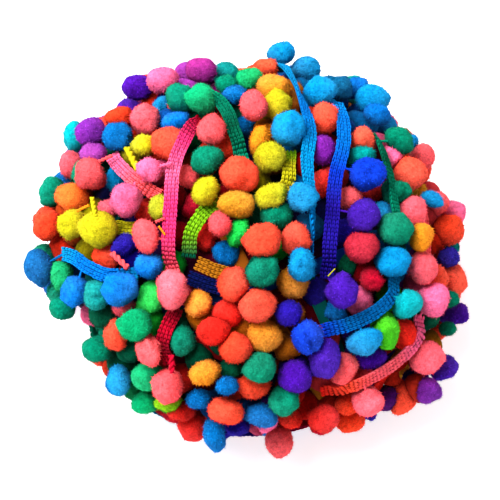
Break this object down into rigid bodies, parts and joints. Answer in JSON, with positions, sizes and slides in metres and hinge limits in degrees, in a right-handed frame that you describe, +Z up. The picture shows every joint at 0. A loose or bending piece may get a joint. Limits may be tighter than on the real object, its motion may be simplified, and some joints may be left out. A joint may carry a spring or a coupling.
{
  "type": "ball of pompom trim",
  "caption": "Loosely wound ball of pompom trim, a knitted heading braid with felted yarn pompoms in rainbow colours, resting on a small flat spot.",
  "frame": {"origin": "centre of the small flat spot that the ball rests on", "axes": "+Z up, away from the flat spot; +X to the right and +Y away as the side with the long falls of braid is seen from the front"},
  "size_m": [0.1473, 0.1409, 0.0817],
  "materials": {
    "yarn_rainbow": "matt, short felted pile",
    "yarn_pink": "matt, short felted pile",
    "yarn_crimson": "matt, short felted pile",
    "yarn_green": "matt, short felted pile",
    "yarn_lime": "matt, short felted pile",
    "yarn_blue": "matt, short felted pile",
    "yarn_sky": "matt, short felted pile",
    "yarn_cobalt": "matt, short felted pile",
    "yarn_emerald": "matt, short felted pile",
    "yarn_rose": "matt, short felted pile",
    "yarn_lemon": "matt, short felted pile",
    "yarn_indigo": "matt, short felted pile"
  },
  "bodies": {
    "root": {"wound_ball": "yarn_rainbow", "run_pink_fall": "yarn_pink", "run_red_fall": "yarn_crimson", "run_green_fall": "yarn_green", "run_lime_twist": "yarn_lime", "run_blue_left": "yarn_blue", "run_sky_fall": "yarn_sky", "run_cobalt_fall": "yarn_cobalt", "run_green_edge": "yarn_emerald", "run_blue_sweep": "yarn_blue", "run_pink_sweep": "yarn_rose", "run_pink_left": "yarn_pink", "run_yellow_fall": "yarn_lemon", "turn_front": "yarn_sky", "turn_right": "yarn_rose", "turn_back": "yarn_lemon", "turn_left": "yarn_indigo"}
  },
  "joints": []
}
